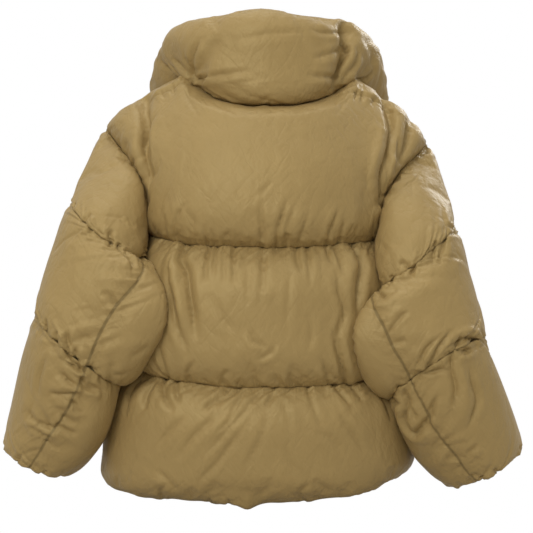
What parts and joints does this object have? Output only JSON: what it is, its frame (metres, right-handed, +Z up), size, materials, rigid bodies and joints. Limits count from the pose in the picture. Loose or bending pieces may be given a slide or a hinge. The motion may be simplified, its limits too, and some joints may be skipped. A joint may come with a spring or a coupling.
{
  "type": "down jacket",
  "caption": "Short quilted down jacket, filled out as worn, hollow, with a tall open collar, set-in sleeves and a zip closed to the chest.",
  "frame": {"origin": "the middle of the neck base, where a wearer's neck and shoulders carry the jacket", "axes": "+Z up, +Y out of the jacket's front, +X towards its right side as seen from behind"},
  "size_m": [0.7925, 0.3773, 0.748],
  "materials": {
    "shell_cloth": "smooth satin-matte nylon shell, khaki, padded with down",
    "zip_tape": "woven tape, dark khaki",
    "zip_metal": "plain satin metal"
  },
  "bodies": {
    "jacket": {"back_upper": "shell_cloth", "back_middle": "shell_cloth", "back_lower": "shell_cloth", "front_left_upper": "shell_cloth", "front_left_middle": "shell_cloth", "front_left_lower": "shell_cloth", "front_right_upper": "shell_cloth", "front_right_middle": "shell_cloth", "front_right_lower": "shell_cloth", "sleeve_left_upper": "shell_cloth", "sleeve_left_middle": "shell_cloth", "sleeve_left_lower": "shell_cloth", "sleeve_right_upper": "shell_cloth", "sleeve_right_middle": "shell_cloth", "sleeve_right_lower": "shell_cloth", "collar": "shell_cloth", "zip_tape_left": "zip_tape", "zip_tape_right": "zip_tape", "zip_slider": "zip_metal"},
    "pull_tab": {"zip_pull": "zip_metal"}
  },
  "joints": [
    {"name": "pull_hinge", "type": "hinge", "parent": "jacket", "child": "pull_tab", "pos_m": [0, 0.12599, -0.14969], "axis": [1, 0, 0], "range_deg": [0, 150]}
  ]
}
